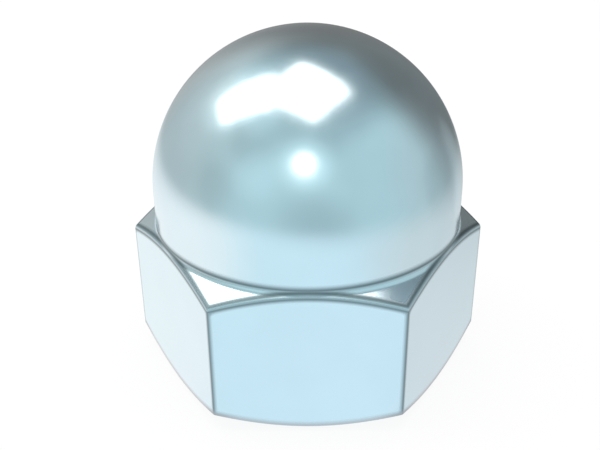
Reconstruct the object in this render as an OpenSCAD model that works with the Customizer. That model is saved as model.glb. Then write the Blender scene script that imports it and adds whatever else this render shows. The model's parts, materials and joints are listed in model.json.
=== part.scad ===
// Domed cap nut: a hexagon nut closed by a high round crown, turned and
// forged as one piece, with a blind threaded hole that opens downwards.
// Millimetres, +Z up, origin at the centre of the bearing face.

/* [Hexagon] */
// Width across the flats
across_flats = 13; // [11:0.5:20]
// Height of the hexagon, from the bearing face to the foot of the crown
hex_height = 6.5; // [5:0.1:10]
// Slope of the turned chamfers above and below the flats, in degrees
chamfer_angle = 30; // [15:1:40]
// How far the flat bearing ring is set in from the flats
bearing_inset = 0.45; // [0.1:0.05:0.8]

/* [Crown] */
// How far the neck of the crown is set in from the flats
neck_inset = 0.05; // [0:0.05:1]
// Height of the straight neck between the hexagon and the half sphere
neck_height = 1.6; // [0.5:0.1:5]
// Radius of the fillet between the chamfer and the neck
foot_fillet = 0.3; // [0.1:0.05:0.8]

/* [Threaded hole] */
// Diameter of the hole's wall, which is the thread's minor diameter
hole_d = 6.65; // [4:0.05:8]
// Width of the countersink at the mouth, on each side of the hole
mouth_width = 1; // [0.5:0.1:1.2]
// Full angle of the countersink, in degrees
mouth_angle = 90; // [60:5:120]
// Full angle of the point that the drill leaves, in degrees
drill_angle = 118; // [90:1:140]
// Metal left between the drill's point and the top of the crown
crown_wall = 1.6; // [1:0.1:4]

/* [Hidden] */
$fn = 96;
// How far a cutter runs past the face that it cuts
overrun = 1;
// Steps in the fillet's arc
fillet_steps = 6;

corner_r = across_flats / sqrt(3);
bearing_r = across_flats / 2 - bearing_inset;
crown_r = across_flats / 2 - neck_inset;
crown_centre = hex_height + neck_height;
nut_height = crown_centre + crown_r;
hole_r = hole_d / 2;
mouth_depth = mouth_width / tan(mouth_angle / 2);
point_length = hole_r / tan(drill_angle / 2);
hole_depth = nut_height - crown_wall - point_length;

// A height on a chamfer that starts at radius r0, measured at radius r
function chamfer_rise(r, r0) = (r - r0) * tan(chamfer_angle);

// The bar that the flats belong to
module hexagon_bar() {
  linear_extrude(height = nut_height + overrun)
    circle(r = corner_r, $fn = 6);
}

// Points along the fillet's arc, from the chamfer up to the neck
function fillet_arc() =
  let (
    turn = 90 - chamfer_angle,
    centre = [crown_r + foot_fillet, hex_height + foot_fillet * tan(turn / 2)]
  )
  [for (i = [fillet_steps:-1:0])
    let (a = turn * i / fillet_steps)
      centre - foot_fillet * [cos(a), sin(a)]];

// Half section of the hexagon and the neck, wider than the corners
module hexagon_section() {
  outer_r = corner_r + overrun;
  polygon(concat(
    [
      [0, 0],
      [bearing_r, 0],
      [outer_r, chamfer_rise(outer_r, bearing_r)],
      [outer_r, hex_height - chamfer_rise(outer_r, crown_r)]
    ],
    fillet_arc(),
    [[crown_r, crown_centre], [0, crown_centre]]
  ));
}

// Half section of the half sphere on the neck
module crown_section() {
  intersection() {
    translate([0, crown_centre]) circle(r = crown_r);
    square([crown_r, nut_height]);
  }
}

module turned_outline() {
  rotate_extrude() union() {
    hexagon_section();
    crown_section();
  }
}

// The countersunk blind hole, down to its drill point
module threaded_hole() {
  rotate_extrude()
    polygon([
      [0, -overrun],
      [hole_r + mouth_width + overrun * tan(mouth_angle / 2), -overrun],
      [hole_r, mouth_depth],
      [hole_r, hole_depth],
      [0, hole_depth + point_length]
    ]);
}

module cap_nut() {
  color([0.78, 0.88, 0.93])
    difference() {
      intersection() {
        turned_outline();
        hexagon_bar();
      }
      threaded_hole();
    }
}

cap_nut();
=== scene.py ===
"""Domed cap nut in bright zinc plate, standing on its bearing face.

The outside is one flat's share of the nut, worked out row by row and repeated round the axis
by Geometry Nodes. A second tree adds the threaded hole and welds it to the mouth. Metres, +Z up.
"""

import json
import math

import bpy
from mathutils import Matrix, Vector


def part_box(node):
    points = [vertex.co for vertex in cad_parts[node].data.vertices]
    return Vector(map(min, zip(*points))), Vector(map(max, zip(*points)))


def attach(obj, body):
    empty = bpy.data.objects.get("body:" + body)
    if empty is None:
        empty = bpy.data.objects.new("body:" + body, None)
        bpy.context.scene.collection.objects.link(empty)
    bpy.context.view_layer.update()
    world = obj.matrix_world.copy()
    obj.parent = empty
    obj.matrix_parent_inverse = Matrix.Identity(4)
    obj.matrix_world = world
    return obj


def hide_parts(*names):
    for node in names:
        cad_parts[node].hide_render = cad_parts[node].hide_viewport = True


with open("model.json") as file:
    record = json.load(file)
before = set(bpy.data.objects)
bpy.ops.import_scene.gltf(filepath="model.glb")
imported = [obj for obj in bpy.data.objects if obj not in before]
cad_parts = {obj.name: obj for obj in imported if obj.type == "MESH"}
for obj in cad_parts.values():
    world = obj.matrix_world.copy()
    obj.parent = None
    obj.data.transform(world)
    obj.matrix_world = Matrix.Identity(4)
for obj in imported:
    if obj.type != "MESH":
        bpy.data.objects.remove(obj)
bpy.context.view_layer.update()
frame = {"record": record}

MM = 0.001
low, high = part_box("cap_nut")

# A hair off each size, so that rounding never carries the surface outside the CAD part's box
HAIR = 0.00005 * MM

# Hexagon
FLATS = 6
HALF_FLATS = (high.y - low.y) / 2 - HAIR
HEX_HEIGHT = 6.5 * MM
CHAMFER_SLOPE = math.radians(30)
BEARING_RADIUS = HALF_FLATS - 0.45 * MM
BEARING_ROUND = 0.10 * MM
LOWER_ROUND = 0.10 * MM
UPPER_ROUND = 0.23 * MM
CORNER_ROUND = 0.10 * MM

# Crown
NUT_HEIGHT = high.z - HAIR
CROWN_RADIUS = HALF_FLATS - 0.05 * MM
CROWN_CENTRE = NUT_HEIGHT - CROWN_RADIUS
FOOT_FILLET = 0.30 * MM

# Threaded hole
THREAD = next(mount for mount in frame["record"]["mounts"] if mount["name"] == "thread")
MINOR_RADIUS = THREAD["dims"]["r_mm"] * MM
HOLE_DEPTH = THREAD["pos_m"][2] + THREAD["dims"]["length_mm"] * MM
MAJOR_RADIUS = 4.0 * MM
MOUTH_RADIUS = MINOR_RADIUS + 1.0 * MM
MOUTH_ROUND = 0.06 * MM
PITCH = 1.25 * MM
ROWS_PER_TURN = 16
FULL_THREAD = 7.2 * MM
THREAD_END = 9.8 * MM
DRILL_ANGLE = math.radians(118)

# Columns of one flat's share, crowded towards its corners
HALF_SHARE = math.pi / FLATS
CORNER_CENTRE = (HALF_FLATS - CORNER_ROUND) / math.cos(HALF_SHARE)
CORNER_STEPS = 4
FLAT_STEPS = 16
COLUMN_CROWDING = 1.6
HALF_COLUMNS = CORNER_STEPS + FLAT_STEPS
COLUMNS_ROUND = 2 * HALF_COLUMNS * FLATS

# Rows of the outline, from the mouth up, and of the drill point
SMALL_ROUND_STEPS = 4
BEARING_STEPS = 8
LOWER_CHAMFER_STEPS = 6
LOWER_ROUND_STEPS = 8
UPRIGHT_STEPS = 12
UPPER_ROUND_STEPS = 10
FOOT_STEPS = 20
NECK_STEPS = 8
CROWN_STEPS = 56
POINT_STEPS = 6

# On the upper chamfer and the foot, this much length gets as many rows as this much turn
FOOT_STEP_LENGTH = 0.15 * MM
FOOT_STEP_TURN = math.radians(6)

# Points closer than this become one
WELD = 0.002 * MM

# Darker lines along the arrises, and painted shade in the crease at the crown's foot: how far from
# each one the line fades out, and its full strength
BASE_LINE = 0.625 * MM
RIM_LINE_BELOW = 0.4375 * MM
RIM_LINE_ABOVE = 0.2875 * MM
CHAMFER_LINE = 0.4 * MM
CORNER_LINE = 0.4 * MM
# The foot and neck lines are painted shade in the crease at the crown's foot
FOOT_CREASE_SHADE = 0.35 * MM
NECK_CREASE_SHADE = 0.625 * MM
LINE_STRENGTH = 0.88
# The chamfer line is stronger, as painted dark reflection in the upper rounding
CHAMFER_LINE_STRENGTH = 0.96
CREASE_SHADE_STRENGTH = 0.86

# How dark a line gets, round the base and added further up, and the painted shade added on the
# neck
LINE_DEPTH_AT_BASE = 0.47
LINE_DEEPER_ABOVE_BASE = 0.45
CREASE_SHADE_DEEPER_ON_NECK = 0.10

# Bloom of the plate, the darker colour of the arris lines and of the painted crease shade, and the
# duller plate of the hole
BLOOM_GREEN = (0.767, 0.887, 0.936)
BLOOM_BLUE = (0.768, 0.883, 0.942)
BLOOM_VIOLET = (0.771, 0.880, 0.948)
ARRIS_LINE_AND_SHADE = (0.158, 0.204, 0.221)
WARM_BASE_LINE = (0.40, 0.19, 0.14)
DULL_HOLE = (0.42, 0.44, 0.45)

# Studio. Headings start at +X, on the right, and run towards +Y, at the back
WHITE = (0.99, 0.99, 0.99, 1)
PALE_MATTE = (0.85, 0.86, 0.87, 1)
FRONT_WALL = (0.50, 0.68, 0.72)
LEFT_WALL = (0.49, 0.558, 0.563)
RIGHT_WALL = (0.51, 0.63, 0.655)
DARK_SCREEN = (0.172, 0.187, 0.187)
LEFT_CEILING = (0.425, 0.585, 0.62)
RIGHT_CEILING = (0.198, 0.268, 0.308)
WARMER_BACK = (1.12, 1.0, 0.98)
# Painted pool of light round the nut, with the nut's shadow painted on its right
FRONT_POOL = (0.75, 0.92, 0.99)
LEFT_POOL = (0.99, 1.0, 1.0)
SHADOWED_RIGHT_POOL = (0.76, 0.795, 0.80)
POOL_CENTRE = (-9 * MM, -6 * MM, 0)
POOL_EDGE = 14 * MM
POOL_END = 58 * MM
LAMP_DISTANCE = 0.3
SOFTBOX_LIGHT = (1, 0.95, 0.90)
FRONT_LIGHT = (1, 0.84, 0.74)

# Brighter and dimmer places of the room: heading, height and reach in degrees, and the share
# that the middle of the place gains or loses
ROOM_PLACES = {
    "pale wall in front on the left": (-130, 22, 22, 0.16),
    "shade low in front": (-85, -10, 35, -0.21),
    "glow round the left softbox": (160, 47, 28, 0.46),
    "pale wall on the left": (160, 20, 24, 0.08),
    "glow round the front lamp": (-91, 36, 23, 0.42),
    "doorway on the left": (-160, 7, 17, -0.14),
    "gap between the left softbox and the front lamp": (-145, 43, 22, -0.18),
    "dim ceiling at the back": (95, 54, 24, -0.19),
    "spill behind the softboxes": (122, 62, 14, 0.20),
    "shade low behind on the left": (115, 6, 26, -0.13),
    "spill in front of the left softbox": (-153, 57, 16, 0.24),
    "shade beside the front lamp": (-70, 46, 14, -0.08),
    "spill on the right of the top softbox": (-25, 54, 22, 0.08),
    "shade over the right end of the screen": (28, 41, 18, -0.16),
    "dim ceiling on the right": (10, 48, 16, -0.10),
    "light on the floor at the foot of the screen": (40, -11, 15, 1.1),
    "shade on the floor on the right": (10, -8, 18, -0.20),
    "darkest part of the screen": (50, 30, 20, -0.12),
    "spill above the screen": (75, 52, 16, 0.14),
    "pale wall in front on the right": (-70, 12, 12, 0.06),
    "gap between the top softbox and the front lamp": (-110, 57, 14, -0.10),
}


# ---------------------------------------------------------------- node helpers


def add_node(tree, kind, feeds=None, **options):
    """Adds a node, sets its options, and feeds its inputs from sockets or plain values."""
    made = tree.nodes.new(kind)
    for option, value in options.items():
        setattr(made, option, value)
    for key, value in (feeds or {}).items():
        if isinstance(value, bpy.types.NodeSocket):
            tree.links.new(value, made.inputs[key])
        else:
            made.inputs[key].default_value = value
    return made


def calc(tree, operation, *values):
    """One step of arithmetic on sockets or plain numbers."""
    made = add_node(tree, "ShaderNodeMath", dict(enumerate(values)), operation=operation)
    return made.outputs[0]


def total(tree, first, *others):
    """Sum of sockets or plain numbers."""
    for other in others:
        first = calc(tree, "ADD", first, other)
    return first


def product(tree, first, *others):
    """Product of sockets or plain numbers."""
    for other in others:
        first = calc(tree, "MULTIPLY", first, other)
    return first


def vector_calc(tree, operation, *values, output="Vector"):
    """One step of arithmetic on vectors. A length, distance or dot product leaves by Value."""
    made = add_node(tree, "ShaderNodeVectorMath", dict(enumerate(values)), operation=operation)
    return made.outputs[output]


def scale_by(tree, vector, factor):
    """A vector or colour times a plain factor."""
    feeds = {0: vector, "Scale": factor}
    return add_node(tree, "ShaderNodeVectorMath", feeds, operation="SCALE").outputs["Vector"]


def remap(tree, value, from_low, from_high, to_low=0.0, to_high=1.0, smooth=True):
    """Carries a value from one range to another, held at both ends."""
    feeds = {
        "Value": value,
        "From Min": from_low,
        "From Max": from_high,
        "To Min": to_low,
        "To Max": to_high,
    }
    shape = "SMOOTHSTEP" if smooth else "LINEAR"
    return add_node(tree, "ShaderNodeMapRange", feeds, interpolation_type=shape).outputs[0]


def mix_colour(tree, factor, first, second, blend="MIX"):
    """Mixes two colours, given as sockets or as plain red, green and blue."""
    made = add_node(tree, "ShaderNodeMix", data_type="RGBA", blend_type=blend)
    for key, value in {0: factor, 6: first, 7: second}.items():
        if isinstance(value, bpy.types.NodeSocket):
            tree.links.new(value, made.inputs[key])
        elif isinstance(value, tuple):
            made.inputs[key].default_value = (*value, 1.0)
        else:
            made.inputs[key].default_value = value
    return made.outputs[2]


def mix_shader(tree, factor, first, second):
    """Mixes two shader nodes, all of the second at a factor of 1."""
    feeds = {0: factor, 1: first.outputs[0], 2: second.outputs[0]}
    return add_node(tree, "ShaderNodeMixShader", feeds)


def noise(tree, place, scale, detail, roughness):
    """Cloudy noise between 0 and 1, mostly near the middle."""
    feeds = {"Vector": place, "Scale": scale, "Detail": detail, "Roughness": roughness}
    return add_node(tree, "ShaderNodeTexNoise", feeds).outputs[0]


def new_geometry_tree(name, inputs):
    """A Geometry Nodes tree with a geometry input and named inputs: (name, socket type)."""
    tree = bpy.data.node_groups.new(name, "GeometryNodeTree")
    tree.interface.new_socket("Geometry", in_out="INPUT", socket_type="NodeSocketGeometry")
    for label, kind in inputs:
        tree.interface.new_socket(label, in_out="INPUT", socket_type=kind)
    tree.interface.new_socket("Geometry", in_out="OUTPUT", socket_type="NodeSocketGeometry")
    entry = tree.nodes.new("NodeGroupInput")
    return tree, entry.outputs


def end_geometry_tree(tree, geometry, material):
    """Realizes the instances, welds, smooths and gives the material, which ends the tree."""
    real = add_node(tree, "GeometryNodeRealizeInstances", {"Geometry": geometry})
    welded = add_node(
        tree, "GeometryNodeMergeByDistance", {"Geometry": real.outputs[0], "Distance": WELD}
    )
    smooth = add_node(tree, "GeometryNodeSetShadeSmooth", {"Geometry": welded.outputs[0]})
    painted = add_node(
        tree, "GeometryNodeSetMaterial", {"Geometry": smooth.outputs[0], "Material": material}
    )
    leave = tree.nodes.new("NodeGroupOutput")
    tree.links.new(painted.outputs[0], leave.inputs[0])


def run_tree(piece, tree, values):
    """Puts the tree on the piece and sets its named inputs before it is first evaluated."""
    modifier = piece.modifiers.new(tree.name, "NODES")
    modifier.node_group = tree
    for item in tree.interface.items_tree:
        if item.in_out == "INPUT" and item.name in values:
            modifier[item.identifier] = values[item.name]


# ---------------------------------------------------------------- outside of the nut


def flat_reach(angle):
    """How far out a flat, or its rounded corner, lies at an angle from the flat's middle."""
    from_corner = HALF_SHARE - abs(angle)
    arc_end = math.atan2(
        CORNER_ROUND * math.sin(HALF_SHARE), CORNER_CENTRE + CORNER_ROUND * math.cos(HALF_SHARE)
    )
    if from_corner >= arc_end:
        return HALF_FLATS / math.cos(angle)
    across = CORNER_CENTRE * math.sin(from_corner)
    return CORNER_CENTRE * math.cos(from_corner) + math.sqrt(CORNER_ROUND**2 - across**2)


def share_angles():
    """Angles of the columns over one flat's share, close together at the corners."""
    flat_edge = CORNER_CENTRE * math.sin(HALF_SHARE)
    half = []
    for step in range(FLAT_STEPS):
        inward = flat_edge * (1 - step / FLAT_STEPS) ** COLUMN_CROWDING
        half.append(math.atan2(flat_edge - inward, HALF_FLATS))
    for step in range(CORNER_STEPS + 1):
        turn = HALF_SHARE * (1 - step / CORNER_STEPS)
        out = CORNER_CENTRE + CORNER_ROUND * math.cos(turn)
        half.append(HALF_SHARE - math.atan2(CORNER_ROUND * math.sin(turn), out))
    return [-angle for angle in reversed(half[1:])] + half


def spread(steps, crowding):
    """Fractions between 0 and 1, ends left out, that crowd towards both ends."""
    made = []
    for step in range(1, steps):
        t = 2 * step / steps
        made.append(0.5 * t**crowding if t <= 1 else 1 - 0.5 * (2 - t) ** crowding)
    return made


def nearness(distance, reach, strength=LINE_STRENGTH):
    """Strength of an arris line or of the painted crease shade: full on it, and 0 at its reach
    from it.
    """
    return strength * max(0.0, 1 - distance / reach)


def arc(centre, radius, start, end, steps):
    """Points of an arc in the half section, both ends included, angles from outwards to up."""
    points = []
    for step in range(steps + 1):
        angle = start + (end - start) * step / steps
        points.append((centre[0] + radius * math.cos(angle), centre[1] + radius * math.sin(angle)))
    return points


def half_section(angle):
    """Rows of the outline at an angle from the flat's middle, from the mouth up to the pole.

    Each row is (radius, height, strength of the arris line or of the painted crease shade,
    evenness). At an evenness of 1 its columns are shared out evenly round the axis, and at 0
    they follow the flat.
    """
    reach = flat_reach(angle)
    slope = math.tan(CHAMFER_SLOPE)
    rows = []

    # Broken edge between the countersink and the bearing face
    eighth = math.pi / 4
    inset = MOUTH_ROUND * math.tan(eighth / 2)
    centre = (MOUTH_RADIUS + inset, MOUTH_ROUND)
    for radius, height in arc(centre, MOUTH_ROUND, -3 * eighth, -2 * eighth, SMALL_ROUND_STEPS):
        rows.append((radius, height, 0.0, 1.0))

    # Bearing face and the rounding into the lower chamfer
    inset = BEARING_ROUND * math.tan(CHAMFER_SLOPE / 2)
    inner, outer = rows[-1][0], BEARING_RADIUS - inset
    for share in spread(BEARING_STEPS, crowding=1.8):
        rows.append((inner + (outer - inner) * share, 0.0, 0.0, 1 - share))
    down = -math.pi / 2
    centre = (outer, BEARING_ROUND)
    turned = arc(centre, BEARING_ROUND, down, down + CHAMFER_SLOPE, SMALL_ROUND_STEPS)
    for radius, height in turned:
        rows.append((radius, height, 0.0, 0.0))

    # Lower chamfer, the rounding at its edge, and the flat
    lower_r = reach - LOWER_ROUND
    lower_z = (lower_r - BEARING_RADIUS) * slope + LOWER_ROUND / math.cos(CHAMFER_SLOPE)
    edge = arc((lower_r, lower_z), LOWER_ROUND, down + CHAMFER_SLOPE, 0.0, LOWER_ROUND_STEPS)
    (inner, base), (outer, top) = rows[-1][:2], edge[0]
    for share in spread(LOWER_CHAMFER_STEPS, crowding=1.6):
        rows.append((inner + (outer - inner) * share, base + (top - base) * share, 0.0, 0.0))
    for step, (radius, height) in enumerate(edge):
        below_flat = LOWER_ROUND * (1 - step / LOWER_ROUND_STEPS)
        rows.append((radius, height, nearness(below_flat, BASE_LINE), 0.0))

    # Upper rounding along the chamfer's edge. Near mid flat it runs straight into the foot blend
    foot_turn = math.pi / 2 - CHAMFER_SLOPE
    foot_height = HEX_HEIGHT + FOOT_FILLET * math.tan(foot_turn / 2)
    web = CROWN_RADIUS + FOOT_FILLET * (1 - math.sin(CHAMFER_SLOPE))
    upper_r = reach - UPPER_ROUND
    drop = (upper_r - CROWN_RADIUS) * slope + UPPER_ROUND / math.cos(CHAMFER_SLOPE)
    upper_z = HEX_HEIGHT - drop
    chamfer_edge = upper_r + UPPER_ROUND * math.sin(CHAMFER_SLOPE)
    if chamfer_edge >= web:
        upper_turn = foot_turn
        blend = FOOT_FILLET
        straight = (chamfer_edge - web) / math.cos(CHAMFER_SLOPE)
    else:
        across = CROWN_RADIUS - upper_r
        rise = foot_height - upper_z
        blend = (across**2 + rise**2 - UPPER_ROUND**2) / (2 * (UPPER_ROUND - across))
        upper_turn = math.atan2(rise, across + blend)
        straight = 0.0
    foot_r = CROWN_RADIUS + blend

    # The flat
    base, top = rows[-1][1], upper_z
    near_corner = nearness(abs(reach * (HALF_SHARE - abs(angle))), CORNER_LINE)
    for share in spread(UPRIGHT_STEPS, crowding=2.2):
        height = base + (top - base) * share
        near_base = nearness(height - base, BASE_LINE)
        near_rim = nearness(top - height, RIM_LINE_BELOW)
        rows.append((reach, height, max(near_base, near_rim, near_corner), 0.0))

    # The upper rounding, between the rim line and the line where the chamfer starts
    rounded = UPPER_ROUND * upper_turn
    to_neck = rounded + straight + blend * upper_turn
    chamfer_start = UPPER_ROUND * foot_turn
    edge = arc((upper_r, upper_z), UPPER_ROUND, 0.0, upper_turn, UPPER_ROUND_STEPS)
    for step, (radius, height) in enumerate(edge):
        along = rounded * step / UPPER_ROUND_STEPS
        near_rim = nearness(along, RIM_LINE_ABOVE)
        near_chamfer = nearness(abs(chamfer_start - along), CHAMFER_LINE, CHAMFER_LINE_STRENGTH)
        rows.append((radius, height, max(near_rim, near_chamfer), 0.0))

    # Upper chamfer and foot blend, shared out by length and by turn
    start = rows[-1][:2]
    length_share = straight / FOOT_STEP_LENGTH
    turn_share = upper_turn / FOOT_STEP_TURN
    for step in range(1, FOOT_STEPS + 1):
        done = (length_share + turn_share) * step / FOOT_STEPS
        if done <= length_share:
            along = done * FOOT_STEP_LENGTH
            radius = start[0] - along * math.cos(CHAMFER_SLOPE)
            height = start[1] + along * math.sin(CHAMFER_SLOPE)
        else:
            turned = (done - length_share) * FOOT_STEP_TURN
            along = straight + turned * blend
            radius = foot_r - blend * math.cos(upper_turn - turned)
            height = foot_height - blend * math.sin(upper_turn - turned)
        along += rounded
        near_chamfer = nearness(abs(along - chamfer_start), CHAMFER_LINE, CHAMFER_LINE_STRENGTH)
        # Painted shade in the crease at the crown's foot
        crease_shade = nearness(to_neck - along, FOOT_CREASE_SHADE, CREASE_SHADE_STRENGTH)
        rows.append((radius, height, max(near_chamfer, crease_shade), 0.0))

    # Neck and half sphere
    base = rows[-1][1]
    for share in spread(NECK_STEPS, crowding=1.5):
        height = base + (CROWN_CENTRE - base) * share
        # Painted shade running up the neck from the crease
        crease_shade = nearness(height - base, NECK_CREASE_SHADE, CREASE_SHADE_STRENGTH)
        rows.append((CROWN_RADIUS, height, crease_shade, share))
    for radius, height in arc((0.0, CROWN_CENTRE), CROWN_RADIUS, 0.0, math.pi / 2, CROWN_STEPS):
        rows.append((max(radius, 0.0), height, 0.0, 1.0))
    return rows


def make_share():
    """Mesh of one flat's share of the outside, from corner to corner, with the flat towards -Y."""
    angles = share_angles()
    columns = [half_section(angle) for angle in angles]
    row_count = len(columns[0])
    vertices = []
    near = []
    for place, rows in enumerate(columns):
        even_angle = -HALF_SHARE + 2 * HALF_SHARE * place / (len(columns) - 1)
        for radius, height, arris, evenness in rows:
            turn = angles[place] + (even_angle - angles[place]) * evenness - math.pi / 2
            vertices.append((radius * math.cos(turn), radius * math.sin(turn), height))
            near.append(arris)
    faces = []
    for place in range(len(columns) - 1):
        for row in range(row_count - 1):
            first = place * row_count + row
            beside = first + row_count
            faces.append((first, beside, beside + 1, first + 1))
    mesh = bpy.data.meshes.new("flat_share")
    mesh.from_pydata(vertices, [], faces)
    attribute = mesh.attributes.new("arris", "FLOAT", "POINT")
    attribute.data.foreach_set("value", near)
    piece = bpy.data.objects.new("flat_share", mesh)
    bpy.context.scene.collection.objects.link(piece)
    return piece


def tree_of_flats():
    """Repeats one flat's share round the axis and welds the shares into one skin."""
    tree, given = new_geometry_tree(
        "Flats round the axis", [("Flats", "NodeSocketInt"), ("Plating", "NodeSocketMaterial")]
    )
    spots = add_node(tree, "GeometryNodeMeshLine", {"Count": given["Flats"], "Offset": (0, 0, 0)})
    step = calc(tree, "DIVIDE", 2 * math.pi, given["Flats"])
    turn = calc(tree, "MULTIPLY", tree.nodes.new("GeometryNodeInputIndex").outputs[0], step)
    rotation = add_node(tree, "ShaderNodeCombineXYZ", {"Z": turn})
    copies = add_node(
        tree,
        "GeometryNodeInstanceOnPoints",
        {
            "Points": spots.outputs[0],
            "Instance": given["Geometry"],
            "Rotation": rotation.outputs[0],
        },
    )
    end_geometry_tree(tree, copies.outputs[0], given["Plating"])
    return tree


# ---------------------------------------------------------------- threaded hole


def tree_of_hole():
    """Adds the countersink, the right-handed thread and the drill point, and welds them on."""
    sizes = [
        "Pitch",
        "Major radius",
        "Minor radius",
        "Mouth radius",
        "Mouth height",
        "Full thread",
        "Thread end",
        "Hole depth",
        "Point length",
    ]
    counts = ["Columns", "Rows per turn", "Turns"]
    inputs = [(name, "NodeSocketFloat") for name in sizes]
    inputs += [(name, "NodeSocketInt") for name in counts]
    inputs.append(("Plating", "NodeSocketMaterial"))
    tree, given = new_geometry_tree("Threaded hole", inputs)

    columns = calc(tree, "ADD", given["Columns"], 1)
    rows = calc(tree, "ADD", calc(tree, "MULTIPLY", given["Rows per turn"], given["Turns"]), 1)
    sheet = add_node(
        tree,
        "GeometryNodeMeshGrid",
        {"Size X": 1.0, "Size Y": 1.0, "Vertices X": columns, "Vertices Y": rows},
    )
    place = add_node(
        tree,
        "ShaderNodeSeparateXYZ",
        {0: tree.nodes.new("GeometryNodeInputPosition").outputs[0]},
    )
    share = calc(tree, "ADD", place.outputs["X"], 0.5)
    climb = calc(tree, "MULTIPLY", calc(tree, "ADD", place.outputs["Y"], 0.5), given["Turns"])

    # Rows climb with the thread and are held between the mouth and the end of the wall
    turns_up = calc(tree, "SUBTRACT", calc(tree, "ADD", climb, share), 1)
    height = calc(tree, "MULTIPLY", turns_up, given["Pitch"])
    height = calc(tree, "MAXIMUM", height, given["Mouth height"])
    height = calc(tree, "MINIMUM", height, given["Hole depth"])

    # 60 degree groove: flat root an eighth of the pitch wide, flat crest a quarter
    phase = calc(tree, "SUBTRACT", calc(tree, "DIVIDE", height, given["Pitch"]), share)
    from_root = calc(tree, "ABSOLUTE", calc(tree, "SUBTRACT", calc(tree, "FRACT", phase), 0.5))
    groove = remap(tree, from_root, 0.375, 0.0625, smooth=False)
    fade = remap(tree, height, given["Full thread"], given["Thread end"], 1.0, 0.0)
    depth = calc(tree, "SUBTRACT", given["Major radius"], given["Minor radius"])
    depth = calc(tree, "MULTIPLY", calc(tree, "MULTIPLY", groove, fade), depth)
    radius = calc(tree, "ADD", given["Minor radius"], depth)
    radius = calc(tree, "MAXIMUM", radius, calc(tree, "SUBTRACT", given["Mouth radius"], height))

    angle = calc(tree, "MULTIPLY", share, 2 * math.pi)
    wall_place = add_node(
        tree,
        "ShaderNodeCombineXYZ",
        {
            "X": calc(tree, "MULTIPLY", radius, calc(tree, "COSINE", angle)),
            "Y": calc(tree, "MULTIPLY", radius, calc(tree, "SINE", angle)),
            "Z": height,
        },
    )
    wall = add_node(
        tree,
        "GeometryNodeSetPosition",
        {"Geometry": sheet.outputs[0], "Position": wall_place.outputs[0]},
    )

    point = add_node(
        tree,
        "GeometryNodeMeshCone",
        {
            "Vertices": given["Columns"],
            "Side Segments": POINT_STEPS,
            "Radius Top": 0.0,
            "Radius Bottom": given["Minor radius"],
            "Depth": given["Point length"],
        },
        fill_type="NONE",
    )
    lift = add_node(tree, "ShaderNodeCombineXYZ", {"Z": given["Hole depth"]})
    lifted = add_node(
        tree,
        "GeometryNodeTransform",
        {"Geometry": point.outputs[0], "Translation": lift.outputs[0]},
    )
    inside = add_node(tree, "GeometryNodeJoinGeometry")
    tree.links.new(wall.outputs[0], inside.inputs[0])
    tree.links.new(lifted.outputs[0], inside.inputs[0])
    inward = add_node(tree, "GeometryNodeFlipFaces", {0: inside.outputs[0]})
    marked = add_node(
        tree,
        "GeometryNodeStoreNamedAttribute",
        {"Geometry": inward.outputs[0], "Name": "bore", "Value": 1.0},
        data_type="FLOAT",
        domain="POINT",
    )
    whole = add_node(tree, "GeometryNodeJoinGeometry")
    tree.links.new(given["Geometry"], whole.inputs[0])
    tree.links.new(marked.outputs[0], whole.inputs[0])
    end_geometry_tree(tree, whole.outputs[0], given["Plating"])
    return tree


def make_nut(plating):
    """Runs both trees on one flat's share and returns the finished nut as a plain mesh."""
    share = make_share()
    mouth_height = half_section(0.0)[0][1]
    run_tree(share, tree_of_flats(), {"Flats": FLATS, "Plating": plating})
    run_tree(
        share,
        tree_of_hole(),
        {
            "Pitch": PITCH,
            "Major radius": MAJOR_RADIUS,
            "Minor radius": MINOR_RADIUS,
            "Mouth radius": MOUTH_RADIUS,
            "Mouth height": mouth_height,
            "Full thread": FULL_THREAD,
            "Thread end": THREAD_END,
            "Hole depth": HOLE_DEPTH,
            "Point length": MINOR_RADIUS / math.tan(DRILL_ANGLE / 2),
            "Columns": COLUMNS_ROUND,
            "Rows per turn": ROWS_PER_TURN,
            "Turns": math.ceil(HOLE_DEPTH / PITCH) + 1,
            "Plating": plating,
        },
    )
    bpy.context.view_layer.update()
    evaluated = share.evaluated_get(bpy.context.evaluated_depsgraph_get())
    mesh = bpy.data.meshes.new_from_object(evaluated)
    mesh.name = "zinc_plated_cap_nut"
    bpy.data.objects.remove(share)
    nut = bpy.data.objects.new("zinc_plated_cap_nut", mesh)
    bpy.context.scene.collection.objects.link(nut)
    return nut


# ---------------------------------------------------------------- finishes


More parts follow.
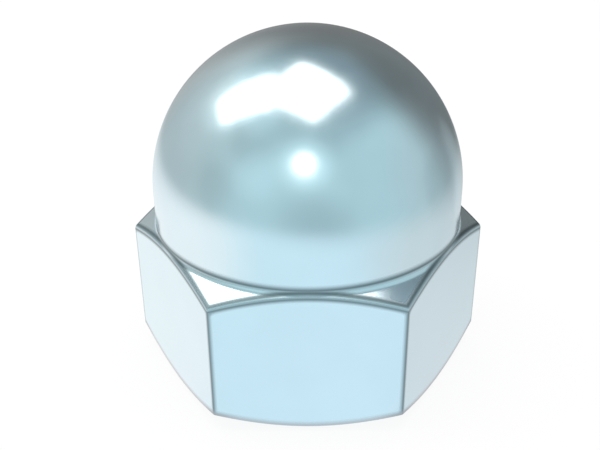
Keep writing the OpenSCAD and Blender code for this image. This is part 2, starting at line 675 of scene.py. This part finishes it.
def zinc_plate():
    """Bright zinc plate: faint blue bloom and clouding, fine grain, drawn marks down the flats,
    turned rings underneath, darker lines along the arrises, painted shade in the crease at the
    crown's foot, and duller plating down the hole.
    """
    material = bpy.data.materials.new("bright_zinc_plate")
    material.use_nodes = True
    tree = material.node_tree
    tree.nodes.clear()
    place = add_node(tree, "ShaderNodeTexCoord").outputs["Object"]
    height = add_node(tree, "ShaderNodeSeparateXYZ", {0: place}).outputs["Z"]
    level_place = vector_calc(tree, "MULTIPLY", place, (1, 1, 0))
    radius = vector_calc(tree, "LENGTH", level_place, output="Value")

    # The bloom drifts from a greener to a more violet blue, and the clouding is finer
    bloom = noise(tree, place, scale=95, detail=1, roughness=0.4)
    tint = mix_colour(tree, remap(tree, bloom, 0.36, 0.50), BLOOM_GREEN, BLOOM_BLUE)
    tint = mix_colour(tree, remap(tree, bloom, 0.50, 0.64), tint, BLOOM_VIOLET)
    cloud = noise(tree, place, scale=420, detail=3, roughness=0.55)
    tint = scale_by(tree, tint, remap(tree, cloud, 0.3, 0.7, 0.985, 1.015))

    # Darker arris lines, warmer and fainter round the base, and painted shade a little deeper on
    # the neck by the crease
    arris = add_node(tree, "ShaderNodeAttribute", attribute_name="arris").outputs["Fac"]
    above_base = remap(tree, height, 0.6 * MM, 1.2 * MM)
    on_neck = remap(tree, height, HEX_HEIGHT + 0.10 * MM, HEX_HEIGHT + 0.14 * MM)
    depth = total(
        tree,
        product(tree, above_base, LINE_DEEPER_ABOVE_BASE),
        LINE_DEPTH_AT_BASE,
        product(tree, on_neck, CREASE_SHADE_DEEPER_ON_NECK),
    )
    line = product(tree, remap(tree, arris, 0.50, 0.95), depth)
    # Colour of the darker lines and of the painted crease shade
    line_colour = mix_colour(tree, above_base, WARM_BASE_LINE, ARRIS_LINE_AND_SHADE)
    tint = mix_colour(tree, line, tint, line_colour)

    # Down the hole the plating thins out
    bore = add_node(tree, "ShaderNodeAttribute", attribute_name="bore").outputs["Fac"]
    deep = product(tree, bore, remap(tree, height, 0.5 * MM, 8.0 * MM))
    tint = mix_colour(tree, product(tree, deep, 0.7), tint, DULL_HOLE)

    # Grain all over, marks drawn down the flats, rings turned on the underside
    grain = noise(tree, place, scale=9000, detail=3, roughness=0.6)
    drawn_place = vector_calc(tree, "MULTIPLY", place, (1, 1, 0.02))
    drawn = noise(tree, drawn_place, scale=5200, detail=2, roughness=0.5)
    on_hexagon = remap(tree, radius, CROWN_RADIUS, HALF_FLATS, smooth=False)
    on_flat = product(tree, on_hexagon, remap(tree, height, 6.2 * MM, 5.6 * MM))
    ring_place = add_node(tree, "ShaderNodeCombineXYZ", {"X": radius}).outputs[0]
    rings = noise(tree, ring_place, scale=5200, detail=2, roughness=0.7)
    underneath = remap(tree, height, 0.5 * MM, 0.2 * MM)
    relief = total(
        tree,
        product(tree, grain, 0.5),
        product(tree, drawn, on_flat, 0.7),
        product(tree, rings, underneath, 2.5),
    )
    bump = add_node(
        tree, "ShaderNodeBump", {"Strength": 0.08, "Distance": 0.02 * MM, "Height": relief}
    )

    # Rougher where it is clouded, along the arrises, down the hole and underneath
    rough = total(
        tree,
        remap(tree, cloud, 0.3, 0.7, 0.165, 0.205),
        product(tree, grain, 0.03),
        product(tree, line, 0.3),
        product(tree, deep, 0.2),
        product(tree, underneath, 0.05),
    )
    shader = add_node(
        tree,
        "ShaderNodeBsdfPrincipled",
        {
            "Base Color": tint,
            "Metallic": 1.0,
            "Roughness": rough,
            "Normal": bump.outputs[0],
        },
    )
    add_node(tree, "ShaderNodeOutputMaterial", {"Surface": shader.outputs[0]})
    return material


# ---------------------------------------------------------------- studio


def toward(heading, height):
    """Direction of length 1 at a heading and a height above the floor, both in degrees."""
    turn, lift = math.radians(heading), math.radians(height)
    return math.cos(lift) * math.cos(turn), math.cos(lift) * math.sin(turn), math.sin(lift)


def lean(tree, way, direction):
    """How far a direction leans towards another one: 1 along it, 0 across it, -1 away from it."""
    return vector_calc(tree, "DOT_PRODUCT", way, direction, output="Value")


def patch(tree, way, heading, height, outer, inner=0.0):
    """A round patch of the room: 1 in its middle, and 0 from its outer edge on, in degrees."""
    edges = (math.cos(math.radians(outer)), math.cos(math.radians(inner)))
    return remap(tree, lean(tree, way, toward(heading, height)), *edges)


def room_light(tree, way):
    """What the metal sees of the room in a direction. The walls are cool in front and on the
    right, neutral on the left and warmer at the back, with a dark screen behind on the right. The
    ceiling is dimmer, and ROOM_PLACES lift or dim the whole from place to place.
    """
    front_to_left = patch(tree, way, heading=130, height=0, outer=112)
    on_right = patch(tree, way, heading=10, height=0, outer=48)
    on_screen = patch(tree, way, heading=62, height=19, outer=60, inner=22)
    at_back = patch(tree, way, heading=100, height=10, outer=40)
    room = mix_colour(tree, front_to_left, FRONT_WALL, LEFT_WALL)
    room = mix_colour(tree, on_right, room, RIGHT_WALL)
    room = mix_colour(tree, on_screen, room, DARK_SCREEN)
    left_to_right = remap(tree, lean(tree, way, toward(40, 0)), -0.6, 0.5, smooth=False)
    ceiling = mix_colour(tree, left_to_right, LEFT_CEILING, RIGHT_CEILING)
    up = add_node(tree, "ShaderNodeSeparateXYZ", {0: way}).outputs["Z"]
    room = mix_colour(tree, remap(tree, up, 0.59, 0.92), room, ceiling)
    room = mix_colour(tree, at_back, room, WARMER_BACK, "MULTIPLY")
    level = 1.0
    for heading, height, outer, change in ROOM_PLACES.values():
        more = product(tree, patch(tree, way, heading, height, outer), change)
        level = total(tree, level, more)
    return scale_by(tree, room, level)


def make_floor():
    """White floor. Where it is seen, most of its white is its own, and only a soft shadow stays.
    The metal sees it as a pool of light round the nut that runs out into the room's light.
    """
    half = 1.5
    mesh = bpy.data.meshes.new("studio_floor")
    corners = [(-half, -half, 0), (half, -half, 0), (half, half, 0), (-half, half, 0)]
    mesh.from_pydata(corners, [], [(0, 1, 2, 3)])
    floor = bpy.data.objects.new("studio_floor", mesh)
    bpy.context.scene.collection.objects.link(floor)
    material = bpy.data.materials.new("white_floor")
    material.use_nodes = True
    tree = material.node_tree
    tree.nodes.clear()
    place = add_node(tree, "ShaderNodeTexCoord").outputs["Object"]

    # Painted pool of light: cool in front, white on the left, grey on the right where the nut's
    # shadow is painted, round a point a little in front
    round_point = vector_calc(tree, "SUBTRACT", place, (0, -3 * MM, 0))
    round_point = vector_calc(tree, "NORMALIZE", round_point)
    on_left = remap(tree, lean(tree, round_point, toward(165, 0)), 0.25, 0.95)
    on_right = remap(tree, lean(tree, round_point, toward(20, 0)), 0.10, 0.90)
    pool = mix_colour(tree, on_left, FRONT_POOL, LEFT_POOL)
    pool = mix_colour(tree, on_right, pool, SHADOWED_RIGHT_POOL)

    # Past the pool the floor carries the room's light as it is met from the hexagon's middle
    way = vector_calc(tree, "SUBTRACT", place, (0, 0, 3 * MM))
    way = vector_calc(tree, "NORMALIZE", way)
    reach = vector_calc(tree, "DISTANCE", place, POOL_CENTRE, output="Value")
    pool_to_room = remap(tree, reach, POOL_EDGE, POOL_END)
    pool = mix_colour(tree, pool_to_room, pool, room_light(tree, way))

    path = tree.nodes.new("ShaderNodeLightPath").outputs
    matte = add_node(tree, "ShaderNodeBsdfDiffuse", {"Color": PALE_MATTE})
    glow = add_node(tree, "ShaderNodeEmission", {"Color": pool, "Strength": 1.0})
    white = add_node(tree, "ShaderNodeEmission", {"Color": WHITE, "Strength": 1.0})
    surface = mix_shader(tree, path["Is Glossy Ray"], matte, glow)
    seen = calc(tree, "MAXIMUM", path["Is Camera Ray"], path["Is Transmission Ray"])
    surface = mix_shader(tree, product(tree, seen, 0.9), surface, white)
    clear = add_node(tree, "ShaderNodeBsdfTransparent")
    from_below = add_node(tree, "ShaderNodeNewGeometry").outputs["Backfacing"]
    surface = mix_shader(tree, from_below, surface, clear)
    add_node(tree, "ShaderNodeOutputMaterial", {"Surface": surface.outputs[0]})
    mesh.materials.append(material)


def make_world():
    """Studio room: white where it is seen and as plain light, with walls that the metal sees."""
    world = bpy.data.worlds.new("studio")
    bpy.context.scene.world = world
    world.use_nodes = True
    tree = world.node_tree
    tree.nodes.clear()
    way = tree.nodes.new("ShaderNodeTexCoord").outputs["Generated"]
    light = room_light(tree, way)
    walls = add_node(tree, "ShaderNodeBackground", {"Color": light, "Strength": 1.0})
    white = add_node(tree, "ShaderNodeBackground", {"Color": WHITE, "Strength": 1.0})
    in_gloss = tree.nodes.new("ShaderNodeLightPath").outputs["Is Glossy Ray"]
    mixed = mix_shader(tree, in_gloss, white, walls)
    add_node(tree, "ShaderNodeOutputWorld", {"Surface": mixed.outputs[0]})


def hang_lamp(name, shape, place, back, size, turn, radiance, colour):
    """Soft lamp at a place counted from the crown's centre, with its back towards `back`."""
    lamp = bpy.data.lights.new(name, "AREA")
    lamp.shape = shape
    lamp.size, lamp.size_y = size
    area = size[0] * size[1] * (math.pi / 4 if shape == "ELLIPSE" else 1.0)
    lamp.energy = radiance * math.pi * area
    lamp.color = colour
    holder = bpy.data.objects.new(name, lamp)
    bpy.context.scene.collection.objects.link(holder)
    holder.location = Vector((0, 0, CROWN_CENTRE)) + Vector(place)
    aimed = Vector(back).to_track_quat("Z", "Y").to_matrix().to_4x4()
    holder.rotation_euler = (aimed @ Matrix.Rotation(math.radians(turn), 4, "Z")).to_euler()


def make_lamps():
    """Two softboxes side by side under the ceiling, and a small round lamp in front.

    A softbox's place and size are shares of its height above the crown's centre.
    """
    up = Vector((0, 0, 1))
    softboxes = {
        "top_softbox": ((0.01, 0.005), (0.665, 0.665), -36, 2.5),
        "left_softbox": ((-0.845, 0.155), (0.99, 0.53), -12, 2.3),
    }
    for name, (middle, size, turn, radiance) in softboxes.items():
        hang_lamp(
            name,
            "RECTANGLE",
            place=Vector((*middle, 1)) * LAMP_DISTANCE,
            back=up,
            size=(size[0] * LAMP_DISTANCE, size[1] * LAMP_DISTANCE),
            turn=turn,
            radiance=radiance,
            colour=SOFTBOX_LIGHT,
        )
    front = Vector(toward(-92.5, 36))
    hang_lamp(
        "front_lamp",
        "ELLIPSE",
        place=front * LAMP_DISTANCE,
        back=front,
        size=(0.25 * LAMP_DISTANCE, 0.25 * LAMP_DISTANCE),
        turn=0,
        radiance=2.2,
        colour=FRONT_LIGHT,
    )


def make_camera():
    """Camera a little above the nut, close enough that the hexagon narrows downwards."""
    target = Vector((-0.330 * MM, 0, 5.895 * MM))
    distance = 39.37 * MM
    roll = math.radians(-0.48)
    back = Vector(toward(-89.38, 28.82))
    data = bpy.data.cameras.new("camera")
    data.sensor_width = 36.0
    data.lens = 54.5
    data.clip_start = 0.001
    data.clip_end = 20.0
    camera = bpy.data.objects.new("camera", data)
    bpy.context.scene.collection.objects.link(camera)
    camera.location = target + back * distance
    aimed = back.to_track_quat("Z", "Y").to_matrix().to_4x4()
    camera.rotation_euler = (aimed @ Matrix.Rotation(roll, 4, "Z")).to_euler()
    bpy.context.scene.camera = camera


def main():
    bpy.context.scene.view_settings.view_transform = "Standard"
    nut = make_nut(zinc_plate())
    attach(nut, "root")
    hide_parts("cap_nut")
    make_floor()
    make_world()
    make_lamps()
    make_camera()


main()
